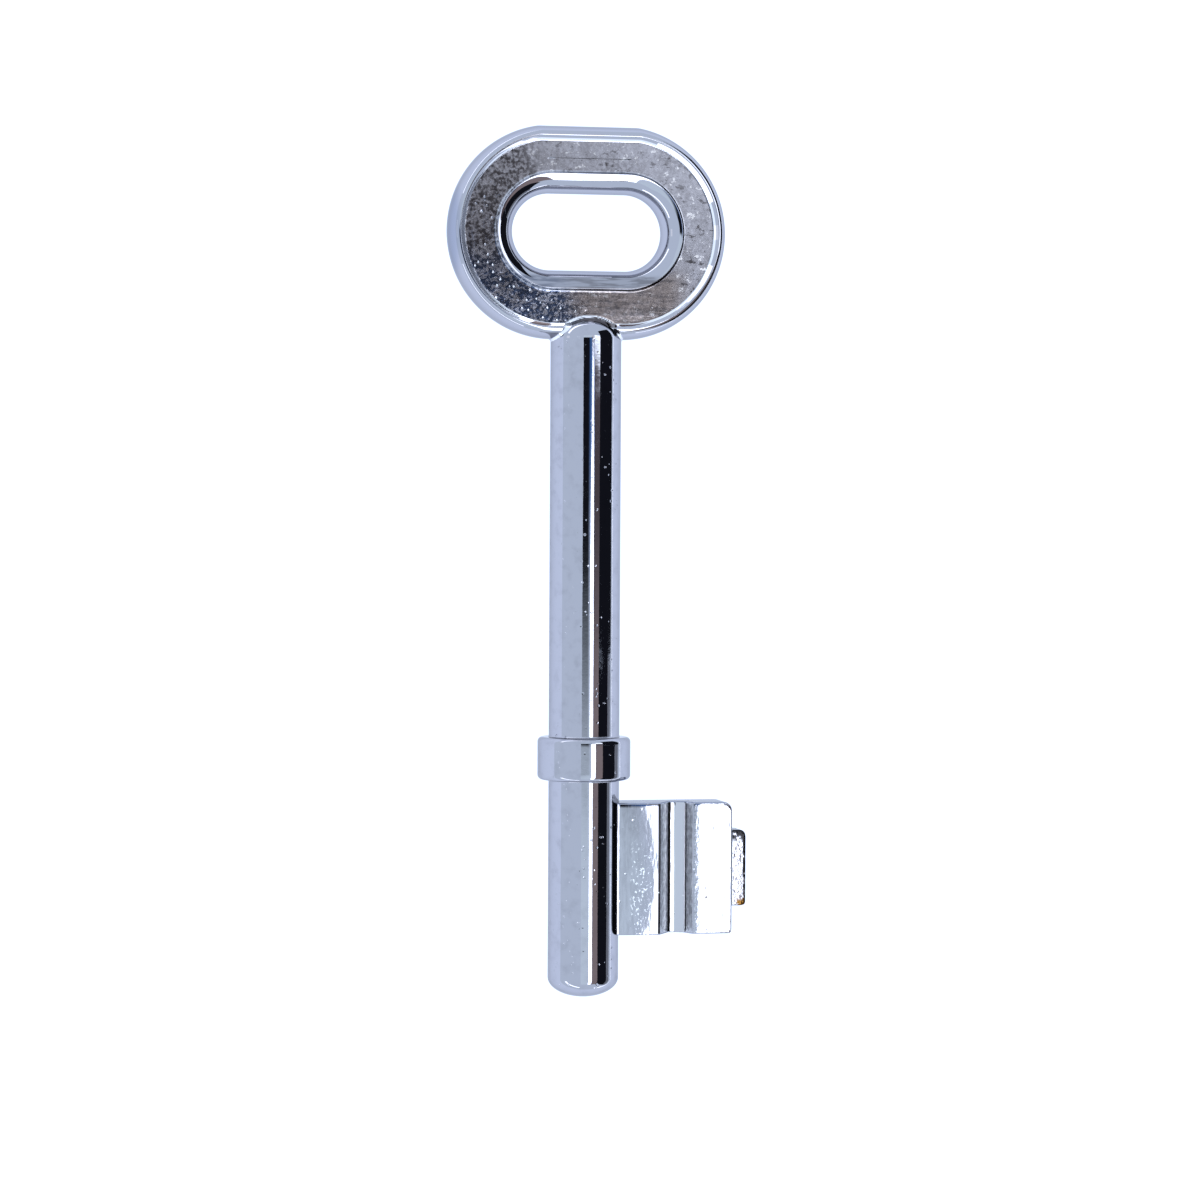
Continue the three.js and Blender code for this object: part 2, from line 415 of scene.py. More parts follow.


# Soft borders of the bow's finish and of the shade and reflection painted on it, each from its start to
# its end
# The panel's left side, which is worn and also darkened with painted shade
LEFT_WEAR_AND_SHADE_X = (-4.5 * MM, -1.2 * MM)
LEFT_WEAR_AND_SHADE_LEAN = 0.3
LEFT_WEAR_AND_SHADE_Y = 24 * MM
LOW_Y = (26.5 * MM, 29.5 * MM)
WEB_X = (6 * MM, 9 * MM)
WEB_Y = (25.5 * MM, 27.5 * MM)
UNDER_EYE_LOW_Y = (24.7 * MM, 24.9 * MM)
UNDER_EYE_HIGH_Y = (26 * MM, 26.5 * MM)
UNDER_EYE_FROM_AXIS = (7 * MM, 8 * MM)
FEWER_CRACKS_Y = (28.5 * MM, 33 * MM)
LEFT_WALL_FROM_AXIS = (-12.6 * MM, -11.8 * MM)


def bow_chrome():
    """Plate of the bow: smooth on its walls and bead, stained and pitted on the sunk panel.

    The left side of the panel is the most worn and is also darkened with painted shade, bluish low down,
    and the web below the eye has streaks across on a painted brown reflection. A painted highlight
    lies on the steps beside the panel and round the shank's end, and painted bluish shade on the left
    wall.
    """
    material, shader, where = new_metal("bow_chrome")
    look = settings("key_chrome")
    panel = painted(where, "sunk_panel")
    x = place(where, 0)
    y = place(where, 1)
    # Left side of the panel: worn, and darkened with painted shade
    left = (x + (y - LEFT_WEAR_AND_SHADE_Y) * LEFT_WEAR_AND_SHADE_LEAN).below(*LEFT_WEAR_AND_SHADE_X)
    low = y.below(*LOW_Y)
    web = (1 - left) * y.below(*WEB_Y) * x.below(*WEB_X)
    worn = left + noise(where, "bow wear").above(0.52, 0.6) * (1 - left) * 0.7
    fine = noise(where, "bow fine")
    streaks = noise(where, "bow streaks")
    swirls = noise(where, "bow swirls")
    specks = spots(stretched(where, (1.0, 1.0, 0.0)), *PANEL_SPECKS)
    specks = specks * (left * low * 0.9 + worn * 0.15)
    specks = specks * noise(where, "speck patches").above(0.4, 0.5) * panel
    normal = bumped(noise(where, "bow casting"), "bow casting")
    normal = bumped(swirls * panel, "bow swirls", normal)
    normal = bumped(fine * panel * (worn * 0.85 + 0.15), "bow fine", normal)
    normal = bumped(streaks * panel * web, "bow streaks", normal)
    feed(shader, "Normal", bumped(specks * -1.0, "bow specks", normal))
    feed(shader, "Roughness", panel * (swirls * 0.06 + 0.02) + 0.04)
    mottle = (fine * 0.7 + noise(where, "bow coarse") * 0.3).above(0.42, 0.58)
    # Mottled stains grow stronger towards the left, where the extra darkness is painted shade
    mottle = mottle * (left * 0.55 + worn * 0.25 + 0.25)
    # Stains and streaks, plus a plain painted shade low on the panel's left side
    grime_and_shade = panel * (mottle + (streaks.above(0.42, 0.62) * 0.4 + 0.1) * web + left * low * 0.25)
    under_eye = y.above(*UNDER_EYE_LOW_Y) * y.below(*UNDER_EYE_HIGH_Y) * (1 - panel)
    under_eye = under_eye * (x - AXIS_X).math("ABSOLUTE").below(*UNDER_EYE_FROM_AXIS)
    grime_and_shade = grime_and_shade + under_eye * (streaks.above(0.4, 0.6) * 0.4 + 0.25)
    cracks = noise(where, "bow cracks")
    across = panel * (1 - left) * (1.3 - web) * (0.8 - y.above(*FEWER_CRACKS_Y) * 0.35)
    grime_and_shade = grime_and_shade + cracks.above(0.57, 0.64) * across
    glints = cracks.below(0.35, 0.41) * across
    # Painted bluish shade on the bow's left wall only
    left_wall_shade = (1 - panel) * x.below(*LEFT_WALL_FROM_AXIS, AXIS_X)
    # Painted brown reflection on the web below the eye; its streaks are marks in the plate
    plate = mix_colours(panel * web, look.plate, look.painted_brown_reflection)
    plate = mix_colours(left_wall_shade, plate, look.blue_wall_shade)
    # Painted bluish shade low on the panel's left side
    stain_and_shade = mix_colours(left * low, look.stain_and_shade, look.blue_shade)
    colour = mix_colours(grime_and_shade.math("MINIMUM", 1.0), plate, stain_and_shade)
    # Painted highlight on the steps beside the panel and round the shank's end
    colour = mix_colours(painted(where, "steps"), colour, look.bright)
    feed(shader, "Base Color", mix_colours(specks + glints, colour, WHITE))
    return material


# Soft borders of the bit's finish and of the shade and reflection painted on it, each from the place
# that it's used with
GROOVE_BORDER = 0.1 * MM
NEAR_WALL = (0.0, 0.05 * MM)
CREASE = (0.1 * MM, 0.17 * MM)
STEP_START = (0.1 * MM, 0.2 * MM)
STEP_FACE = (-0.15 * MM, -0.05 * MM)
STEP_TOP = (-1.4 * MM, -0.7 * MM)
STEP_EDGE = (-0.36 * MM, -0.26 * MM)
STEP_LOW_END = (0.4 * MM, 0.9 * MM)
STEP_LOW_START = (0.4 * MM, 0.7 * MM)
FLECKS_START = (3.9 * MM, 4.4 * MM)
FLECKS_END = (-0.9 * MM, -0.5 * MM)
FLECKS_TOP = (-6 * MM, -3 * MM)
FLECKS_FACE = (1.4 * MM, 1.55 * MM)
TOP_WALL = (-0.12 * MM, -0.04 * MM)
LAND_START = (-0.05 * MM, 0.0)
WORN_SHARE = 0.9
BIT_EDGE_TINT = 0.42
# How dark the painted shade in the bit's creases and on its step is, as a share of the stain colour
PAINTED_SHADE_SHARE = 0.2


def bit_chrome():
    """Plate of the bit: fine marks along the key, bright specks and a rough groove.

    White flecks lie on the inner land. The step has painted shade at its top and along its edge and a
    painted warm reflection at its lower end; painted shade lines the groove's creases, and the bit's top
    wall has a painted bluish shade.
    """
    material, shader, where = new_metal("bit_chrome", BIT_EDGE_TINT)
    look = settings("key_chrome")
    bit = settings("key_bit")
    groove = painted(where, "groove")
    x = place(where, 0)
    y = place(where, 1)
    z = place(where, 2)
    land_x = AXIS_X + outer_land_start(bit)
    near_x = AXIS_X + bit.groove_start
    floor_x = near_x + bit.near_wall
    step_x = land_x + bit.outer_land
    step_high = BIT_HIGH.y - bit.step_below_top
    step_low = step_high - bit.step_height
    beyond_floor = x.above(-GROOVE_BORDER, 0.0, floor_x)
    beyond_ramp = x.above(0.0, GROOVE_BORDER, land_x - bit.far_wall)
    walls = groove * x.above(*NEAR_WALL, near_x) * (1 - beyond_floor + beyond_ramp)
    from_edge = (x - (near_x - GROOVE_BORDER)).math("ABSOLUTE")
    from_floor = (x - floor_x).math("ABSOLUTE")
    # The groove's creases, where painted shade goes
    crease_shade = from_edge.math("MINIMUM", from_floor).below(*CREASE)
    on_step = x.above(*STEP_START, step_x)
    on_front = on_step * z.above(*STEP_FACE, AXIS_Z + bit.step_half_thickness)
    # Painted shade at the step's top and along its outer edge
    step_shade = on_front * y.above(*STEP_TOP, step_high) + on_front * x.above(*STEP_EDGE, BIT_HIGH.x)
    # The step's lower end, where a painted warm reflection goes
    step_warm_reflection = on_front * y.below(*STEP_LOW_END, step_low) * x.above(*STEP_LOW_START, step_x)
    on_land = x.above(*FLECKS_START, AXIS_X) * x.below(*FLECKS_END, near_x)
    on_land = on_land * (1.1 - y.above(*FLECKS_TOP, BIT_HIGH.y)) * z.above(*FLECKS_FACE, AXIS_Z)
    flecks = noise(where, "flecks").above(0.58, 0.63) * on_land
    flecks = flecks * noise(where, "fleck patches").above(0.42, 0.52)
    ragged = x.above(*LAND_START, land_x) * x.below(0.0, bit.worn_width * WORN_SHARE, land_x)
    marks = noise(where, "bit marks")
    grit = noise(where, "bit grit")
    pits = spots(stretched(where, (1.0, 1.0, 0.0)), *BIT_PITS)
    pits = pits * noise(where, "pit patches").above(0.44, 0.56)
    gritty = grit * ((ragged + on_step) * 0.5 + walls * (beyond_ramp * 0.8 + 1))
    normal = bumped(noise(where, "bit waves"), "bit waves")
    normal = bumped(marks, "bit marks", normal)
    normal = bumped(gritty, "bit grit", normal)
    feed(shader, "Normal", bumped(pits * -1.0, "bit pits", normal))
    feed(shader, "Roughness", marks * 0.06 + walls * 0.3 + 0.04)
    # Painted shade for the groove's creases and for the step
    painted_shade = darker(look.stain_and_shade, PAINTED_SHADE_SHARE)
    scaly = walls * (grit.above(0.4, 0.6) * 0.45 + beyond_ramp * 0.3 + 0.25)
    plate = mix_colours(marks.above(0.35, 0.65), look.plate, darker(look.plate, DULL_PLATE))
    plate = mix_colours(groove * beyond_floor * (1 - beyond_ramp), plate, look.ramp)
    plate = mix_colours(scaly, plate, look.scale)
    # Painted shade in the groove's creases
    plate = mix_colours(groove * crease_shade, plate, painted_shade)
    # Painted shade on the step
    plate = mix_colours(step_shade * grit.above(0.36, 0.5), plate, painted_shade)
    # Painted warm reflection on the step's lower end
    plate = mix_colours(step_warm_reflection * grit.above(0.36, 0.5), plate, look.painted_warm_reflection)
    # Painted bluish shade on the bit's top wall
    plate = mix_colours(y.above(*TOP_WALL, BIT_HIGH.y), plate, look.blue_wall_shade)
    feed(shader, "Base Color", mix_colours(pits + flecks, plate, WHITE))
    return material


def glowing(name, light, base=BLACK):
    """A plain shining surface, for the floor and the studio cards."""
    material, shader = new_surface(name)
    shader.inputs["Base Color"].default_value = (*base, 1.0)
    shader.inputs["Specular IOR Level"].default_value = 0.0
    shader.inputs["Roughness"].default_value = 1.0
    shader.inputs["Emission Color"].default_value = (*light, 1.0)
    shader.inputs["Emission Strength"].default_value = 1.0
    return material


def add_mesh(name, points, faces):
    mesh = bpy.data.meshes.new(name)
    mesh.from_pydata([tuple(point) for point in points], [], faces)
    mesh.validate()
    mesh.update()
    mesh.polygons.foreach_set("use_smooth", [True] * len(mesh.polygons))
    piece = bpy.data.objects.new(name, mesh)
    bpy.context.scene.collection.objects.link(piece)
    return piece


def store_mask(piece, name, values):
    """Stores one value for each point of a mesh, for its material to read."""
    attribute = piece.data.attributes.new(name, "FLOAT", "POINT")
    attribute.data.foreach_set("value", values)


def finish_piece(piece, material, node_name):
    """Gives a piece its material, hangs it from the key's root and hides the packed node that it stands
    for.
    """
    piece.data.materials.append(material)
    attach(piece, "root")
    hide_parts(node_name)


def arc(centre, radii, start, end, steps):
    """Points of an elliptical arc; the angles are in degrees."""
    angles = [math.radians(start + (end - start) * step / steps) for step in range(steps + 1)]
    return [
        Vector((centre[0] + radii[0] * math.cos(angle), centre[1] + radii[1] * math.sin(angle)))
        for angle in angles
    ]


CORNER_STEPS = 6


def rounded(corners, reach):
    """The path through the corners, each inner corner replaced by a short curve."""
    path = [corners[0]]
    for before, corner, after in zip(corners, corners[1:], corners[2:]):
        back = before - corner
        ahead = after - corner
        start = corner + back.normalized() * min(reach, back.length / 2)
        end = corner + ahead.normalized() * min(reach, ahead.length / 2)
        for step in range(CORNER_STEPS + 1):
            t = step / CORNER_STEPS
            path.append(start * (1 - t) ** 2 + corner * (2 * t * (1 - t)) + end * t**2)
    path.append(corners[-1])
    return path


def filled(path, longest):
    """The path with points added so that no step is longer than given."""
    dense = [path[0]]
    for start, end in zip(path, path[1:]):
        parts = max(1, math.ceil((end - start).length / longest))
        dense.extend(start.lerp(end, part / parts) for part in range(1, parts + 1))
    return dense


def between(start, end, longest):
    """Points from start to end, without these two."""
    return filled([start, end], longest)[1:-1]


def quads_between(rings, points, closed_rings):
    """Faces between neighbouring rings of a lofted skin."""
    last = rings if closed_rings else rings - 1
    faces = []
    for ring in range(last):
        after = (ring + 1) % rings
        for point in range(points):
            beside = (point + 1) % points
            near, far = ring * points, after * points
            faces.append((near + point, near + beside, far + beside, far + point))
    return faces


def turned_skin(profile, segments):
    """Points of a skin turned about the shank's axis from (radius, y) points."""
    points = []
    for radius, y in profile:
        for segment in range(segments):
            angle = 2 * math.pi * segment / segments
            x = AXIS_X + radius * math.sin(angle)
            z = AXIS_Z + radius * math.cos(angle)
            points.append((x, y, z))
    return points


# How many points an outline of the bow has. Round the ends they lie closer towards the shank
BOTTOM_POINTS = 90
TOP_POINTS = 20
END_POINTS = 170
END_CROWDING = 1.5


def oval(bow, depth):
    """One outline of the bow, given how far it lies inside the outer edge."""
    radius = bow.end_radius - depth
    share = depth / bow.web
    straight = bow.half_straight + (bow.eye_half_straight - bow.half_straight) * share
    bottom = np.linspace(-1, 1, BOTTOM_POINTS, endpoint=False)
    top = np.linspace(1, -1, TOP_POINTS, endpoint=False)
    turn = np.linspace(0, 1, END_POINTS, endpoint=False)
    right = np.radians(-90 + 180 * turn**END_CROWDING)
    left = np.radians(270 - 180 * (1 - turn) ** END_CROWDING)
    x = np.concatenate([
        bottom * straight, straight + radius * np.cos(right),
        top * straight, -straight + radius * np.cos(left),
    ])
    y = np.concatenate([
        np.full(BOTTOM_POINTS, -radius), radius * np.sin(right),
        np.full(TOP_POINTS, radius), radius * np.sin(left),
    ])
    if depth < bow.web / 2:
        y = np.minimum(y, radius - bow.top_flat)
    return x, y


WALL_STEPS = 26


def bow_half_profile(bow, longest):
    """Half of the bow's section, as (depth, height) from the outer edge to the eye."""
    top = BOW_HALF_THICKNESS
    sunk = top - bow.panel_depth
    rim_end = bow.edge_round + bow.rim_width
    panel_start = rim_end + bow.rim_slope
    bead_crest = bow.web - bow.bead_round
    shoulder = bead_crest - bow.bead_flat
    middle = rounded(
        [
            Vector((bow.edge_round, top)),
            Vector((rim_end, top)),
            Vector((panel_start, sunk)),
            Vector((shoulder - bow.bead_slope, sunk)),
            Vector((shoulder, top)),
            Vector((bead_crest, top)),
        ],
        bow.corner_reach,
    )
    outer = arc((bow.edge_round, 0), (bow.edge_round, top), 180, 90, WALL_STEPS)
    lean = math.tan(bow.bead_lean) * bow.bead_round / top
    start = math.acos(lean / (1 - lean))
    width = bow.bead_round / (1 - math.cos(start))
    radii = (width, top / math.sin(start))
    inner = arc((bow.web - width, 0), radii, math.degrees(start), 0, WALL_STEPS)
    return outer[:-1] + filled(middle, longest) + inner[1:]


def bar_distance(points, shank):
    """Distance to the shank's round bar. Beside the dome on its end it is only roughly so."""
    beyond = np.maximum(points[:, 1] - (SHANK_HIGH.y - shank.bow_dome), 0)
    beyond *= shank.radius / shank.bow_dome
    across = points[:, 0] - AXIS_X
    above = points[:, 2] - AXIS_Z
    return np.sqrt(across**2 + beyond**2 + above**2) - shank.radius


# How far hidden points rise, in fillets, and how often the search for the others is halved
HIDDEN_RISE = 1.05
HALVINGS = 30


def blend_into_bar(points, normals, shank, fillet):
    """Raises a fillet round the bar by moving points along their normals.

    Points under the bar's skin all rise by a little more than the fillet, and stay hidden.
    """
    def outside(moved):
        from_bar = bar_distance(points + normals * moved[:, None], shank)
        corner = np.hypot(np.maximum(fillet - moved, 0), np.maximum(fillet - from_bar, 0))
        return np.maximum(fillet, np.minimum(moved, from_bar)) - corner

    low = np.zeros(len(points))
    high = np.full(len(points), fillet * HIDDEN_RISE)
    near = outside(low) < 0
    for _ in range(HALVINGS):
        middle = (low + high) / 2
        inside = outside(middle) < 0
        low = np.where(inside, middle, low)
        high = np.where(inside, high, middle)
    return points + normals * np.where(near, low, 0.0)[:, None]


# Longest steps of the bow's section, and where its masks begin and fade
FRONT_STEP = 0.085 * MM
BACK_STEP = 0.2 * MM
PANEL_TOLERANCE = 0.03 * MM
BEAD_FADE = 4 * MM
LEFT_END = 11 * MM
LEFT_END_FADE = 2 * MM
# Share of the painted highlight on the rim's step and on the fillet round the shank's end
HIGHLIGHT_SHARE = 0.8
CLEAR_FILLETS = 0.6


def bow_masks(bow, shank, section, points):
    """Where the bow's panel is, and where a painted highlight goes: on the steps beside the panel and
    round the shank's end.
    """
    sunk = BOW_HALF_THICKNESS - bow.panel_depth
    panel_start = bow.edge_round + bow.rim_width + bow.rim_slope
    panel_end = bow.web - bow.bead_round - bow.bead_flat - bow.bead_slope
    half_down = panel_start - bow.rim_slope / 2
    bead_start = panel_end + bow.bead_slope

    def on_rings(chosen):
        flags = [float(chosen(point.x, point.y)) for point in section]
        return np.repeat(flags, len(points) // len(section))

    on_panel = on_rings(
        lambda x, y: panel_start <= x <= panel_end and abs(abs(y) - sunk) < PANEL_TOLERANCE
    )
    on_rim_step = on_rings(lambda x, y: half_down < x < panel_start and y > 0)
    on_bead_step = on_rings(lambda x, y: panel_end < x < bead_start and y > 0)
    clear = bar_distance(points, shank) > bow.joint_fillet * CLEAR_FILLETS
    to_left = np.clip((AXIS_X - points[:, 0]) / BEAD_FADE, 0, 1)
    off_left_end = np.clip((points[:, 0] - AXIS_X + LEFT_END) / LEFT_END_FADE, 0, 1)
    # The rim's step and, towards the left, the bead's step get a painted highlight
    steps = on_rim_step * off_left_end * HIGHLIGHT_SHARE + on_bead_step * to_left
    on_fillet = ~clear & (points[:, 2] > AXIS_Z)
    return {
        "sunk_panel": on_panel * clear,
        "steps": np.where(on_fillet, HIGHLIGHT_SHARE, steps * clear),
    }


def make_bow():
    bow = settings("key_bow")
    shank = settings("key_shank")
    front = bow_half_profile(bow, FRONT_STEP)
    back = bow_half_profile(bow, BACK_STEP)[1:-1]
    section = [*front, *(Vector((point.x, -point.y)) for point in reversed(back))]
    centre_y = BOW_HIGH.y - bow.end_radius + bow.top_flat
    rings = []
    for point in section:
        x, y = oval(bow, point.x)
        rings.append(np.column_stack([AXIS_X + x, centre_y + y, np.full(len(x), AXIS_Z + point.y)]))
    points = np.concatenate(rings)
    faces = quads_between(len(rings), len(rings[0]), True)
    piece = add_mesh("chromed_bow", points, faces)
    normals = np.empty(len(points) * 3)
    piece.data.vertex_normals.foreach_get("vector", normals)
    points = blend_into_bar(points, normals.reshape(-1, 3), shank, bow.joint_fillet)
    piece.data.vertices.foreach_set("co", points.ravel())
    for name, mask in bow_masks(bow, shank, section, points).items():
        store_mask(piece, name, mask)
    piece.data.update()
    finish_piece(piece, bow_chrome(), "bow")


SHANK_SEGMENTS = 256
DOME_STEPS = 40
NEAR_DOME = 0.04 * MM
BODY_STEP = 1.0 * MM


def make_shank():
    shank = settings("key_shank")
    nose_y = SHANK_LOW.y
    far_y = SHANK_HIGH.y - shank.bow_dome
    dome = arc((0, nose_y + shank.nose_dome), (shank.radius, shank.nose_dome), -90, 0, DOME_STEPS)
    far_dome = arc((0, far_y), (shank.radius, shank.bow_dome), 0, 90, DOME_STEPS)
    inwards = Vector((0, NEAR_DOME))
    body = filled([dome[-1] + inwards, far_dome[0] - inwards], BODY_STEP)
    profile = dome[1:] + body + far_dome[:-1]
    points = turned_skin(profile, SHANK_SEGMENTS)
    faces = quads_between(len(profile), SHANK_SEGMENTS, False)
    nose = len(points)
    points += [(AXIS_X, nose_y, AXIS_Z), (AXIS_X, SHANK_HIGH.y, AXIS_Z)]
    last = (len(profile) - 1) * SHANK_SEGMENTS
    for segment in range(SHANK_SEGMENTS):
        beside = (segment + 1) % SHANK_SEGMENTS
        faces.append((nose, beside, segment))
        faces.append((nose + 1, last + segment, last + beside))
    piece = add_mesh("chromed_shank", points, faces)
    finish_piece(piece, smooth_chrome("shank_chrome"), "shank")


COLLAR_SEGMENTS = 160
COLLAR_FILLET_STEPS = 5
COLLAR_EDGE_STEPS = 10
COLLAR_SIDE_STEP = 0.2 * MM
COLLAR_WALL_STEP = 0.3 * MM
COLLAR_SEAT_DEPTH = 0.3 * MM
COLLAR_RIPPLE = 1.3


def make_collar():
    shank = settings("key_shank")
    low = COLLAR_LOW.y
    high = COLLAR_HIGH.y
    edge = shank.collar_round
    fillet = shank.collar_fillet
    outer = shank.collar_radius - edge
    wall = outer + edge
    fillet_x = shank.radius + fillet
    seat = shank.radius - COLLAR_SEAT_DEPTH
    nose_fillet = arc((fillet_x, low - fillet), (fillet, fillet), 180, 90, COLLAR_FILLET_STEPS)
    bow_fillet = arc((fillet_x, high + fillet), (fillet, fillet), 270, 180, COLLAR_FILLET_STEPS)
    profile = [
        Vector((seat, low - fillet)),
        *nose_fillet,
        *between(nose_fillet[-1], Vector((outer, low)), COLLAR_SIDE_STEP),
        *arc((outer, low + edge), (edge, edge), -90, 0, COLLAR_EDGE_STEPS),
        *between(Vector((wall, low + edge)), Vector((wall, high - edge)), COLLAR_WALL_STEP),
        *arc((outer, high - edge), (edge, edge), 0, 90, COLLAR_EDGE_STEPS),
        *between(Vector((outer, high)), bow_fillet[0], COLLAR_SIDE_STEP),
        *bow_fillet,
        Vector((seat, high + fillet)),
    ]
    points = turned_skin(profile, COLLAR_SEGMENTS)
    faces = quads_between(len(profile), COLLAR_SEGMENTS, True)
    piece = add_mesh("chromed_collar", points, faces)
    material = smooth_chrome("collar_chrome", COLLAR_RIPPLE)
    finish_piece(piece, material, "collar")


# The root's fillet goes a little past straight down, in degrees
PAST_DOWN = 3
FILLET_STEPS = 8
HOLLOW_STEPS = 10
LAND_STEPS = 24


def root_curve(bit, shank_radius):
    """The way from the shank into the inner land: a small fillet, then a shallow hollow."""
    fillet = bit.root_fillet
    hollow = bit.root_hollow
    centre_z = bit.half_thickness - bit.root_drop + fillet
    centre_x = math.sqrt((shank_radius + fillet) ** 2 - centre_z**2)
    start = math.degrees(math.atan2(-centre_z, -centre_x))
    turn = math.degrees(bit.root_tilt)
    down = -90 - PAST_DOWN
    curve = arc((centre_x, centre_z), (fillet, fillet), start, down, FILLET_STEPS)
    hollow_x = curve[-1].x + hollow * math.sin(math.radians(PAST_DOWN))
    hollow_z = curve[-1].y + hollow * math.cos(math.radians(PAST_DOWN))
    return curve + arc((hollow_x, hollow_z), (hollow, hollow), down, turn - 90, HOLLOW_STEPS)[1:]


def inner_land(bit, start):
    """The inner land, which rises less and less from the shank to the groove."""
    width = bit.groove_start - start.x
    steep = math.tan(bit.root_tilt)
    flat = math.tan(bit.groove_tilt)
    path = []
    for step in range(1, LAND_STEPS + 1):
        t = step / LAND_STEPS
        rise = width * (steep * t + (flat - steep) * t**2 / 2)
        path.append(Vector((start.x + width * t, start.y + rise)))
    return path


def outer_land_start(bit):
    """From the shank's axis to the land outside the groove."""
    return bit.groove_start + bit.near_wall + bit.groove_floor + bit.ramp_width + bit.far_wall


# The bit's face: its rounded corners, its longest step, how it goes on inside the shank, and
# where its worn side starts, as shares of that side's width and drop
GROOVE_REACH = 0.16 * MM
FACE_STEP = 0.12 * MM
INSIDE_SHANK = (0.9 * MM, 0.15 * MM)
NEAR_ROOT = 0.03 * MM
WORN_STEPS = 20
WORN_FIRST_STEP = 4
WORN_START = (0.15, 0.72)


def face_heights(bit, shank_radius):
    """The bit's front face as (x, z) from the shank's axis, from its root to its edge."""
    root = root_curve(bit, shank_radius)
    land = inner_land(bit, root[-1])
    face = bit.half_thickness
    floor_z = face - bit.groove_depth
    floor_x = bit.groove_start + bit.near_wall
    ramp_x = floor_x + bit.groove_floor
    outer_x = outer_land_start(bit)
    along, drop = WORN_START
    groove = rounded(
        [
            *land[-2:],
            Vector((floor_x, floor_z)),
            Vector((ramp_x, floor_z)),
            Vector((ramp_x + bit.ramp_width, floor_z + bit.ramp_rise)),
            Vector((outer_x, face - bit.worn_drop)),
            Vector((outer_x + along * bit.worn_width, face - drop * bit.worn_drop)),
        ],
        GROOVE_REACH,
    )
    worn = []
    for part in range(WORN_FIRST_STEP, WORN_STEPS + 1):
        share = part / WORN_STEPS
        z = face - (1 - share) ** 2 * bit.worn_drop
        worn.append(Vector((outer_x + share * bit.worn_width, z)))
    inside = Vector((root[0].x - INSIDE_SHANK[0], root[0].y - INSIDE_SHANK[1]))
    near = Vector((root[0].x - NEAR_ROOT, root[0].y))
    outer = filled([*groove, *worn, Vector((outer_x + bit.outer_land, face))], FACE_STEP)
    return [inside, near, *root, *land[:-2], *outer]


def corner_cut(x, edge_x, radius):
    """How much a rounded corner takes off the height of the plate at x."""
    over = max(0.0, x - (edge_x - radius))
    return radius - math.sqrt(max(radius**2 - over**2, 0.0))


RING_CORNER_STEPS = 4
RING_SIDE_STEPS = 36
# The shortest side of a ring, in radii of its rounded corners
LEAST_SIDE = 2.01


def block_ring(x, low_y, high_y, low_z, high_z, edge):
    """A rounded rectangle across the bit at x, always with the same number of points."""
    edge = min(edge, (high_y - low_y) / LEAST_SIDE, (high_z - low_z) / LEAST_SIDE)
    centres = [
        (high_y - edge, high_z - edge),
        (low_y + edge, high_z - edge),
        (low_y + edge, low_z + edge),
        (high_y - edge, low_z + edge),
    ]
    corners = [
        arc(centre, (edge, edge), 90 * quarter, 90 * (quarter + 1), RING_CORNER_STEPS)
        for quarter, centre in enumerate(centres)
    ]
    shares = [part / RING_SIDE_STEPS for part in range(1, RING_SIDE_STEPS)]
    ring = []
    for corner, after in zip(corners, corners[1:] + corners[:1]):
        ring.extend(corner)
        ring.extend(corner[-1].lerp(after[0], share) for share in shares)
    return [(AXIS_X + x, point.x, AXIS_Z + point.y) for point in ring]


def twisted(ring, x, low_y, high_y, bit):
    """Lets the inner land rise less near the two ends of the bit."""
    middle_y = (low_y + high_y) / 2
    half = (high_y - low_y) / 2
    reach = bit.groove_start - SHANK_RADIUS
    across = min(max(x - SHANK_RADIUS, 0.0), reach)
    fade = min(1.0, max(0.0, (bit.groove_start + bit.near_wall - x) / bit.near_wall))
    moved = []
    for point in ring:
        share = ((point[1] - middle_y) / half) ** 2 if point[2] > AXIS_Z else 0.0
        drop = math.tan(bit.end_twist) * share * across * fade
        moved.append((point[0], point[1], point[2] - drop))
    return moved


EDGE_TURN = 15
CORNER_PARTS = 10
STEP_PARTS = 12
# How much of the step's upper corner its lower corner has
LOW_CORNER_SHARE = 0.4
SHARP_ANGLE = 50.0
# The groove's mask starts before the groove and ends just short of the outer land
MASK_BEFORE = 0.3 * MM
MASK_SHORT = 0.02 * MM


def edge_stations(edge_x, edge):
    """Places across the bit where its rounded outer edge is cut."""
    turns = [math.radians(turn) for turn in range(0, 91, EDGE_TURN)]
    return [edge_x - edge + edge * math.sin(turn) for turn in turns]


def plate_rings(bit, shank, edge_x, heights):
    """The rings of the plate, from inside the shank to the plate's outer edge."""
    edge = bit.edge_round
    face = bit.half_thickness
    stations = [(point.x, point.y) for point in heights if point.x < edge_x - edge]
    stations += [(x, face) for x in edge_stations(edge_x, edge)]
    for part in range(CORNER_PARTS + 1):
        stations.append((edge_x - edge - bit.top_round * (1 - part / CORNER_PARTS), face))
    rings = []
    for x, height in sorted(stations):
        inset = corner_cut(x, edge_x, edge)
        low = BIT_LOW.y + corner_cut(x, edge_x, bit.bottom_round) + inset
        high = BIT_HIGH.y - corner_cut(x, edge_x, bit.top_round) - inset
        back = -max(face, height) if x < shank.radius else -face
        ring = block_ring(x, low, high, back + inset, height - inset, edge)
        rings.append(twisted(ring, x, BIT_LOW.y, BIT_HIGH.y, bit))
    return rings


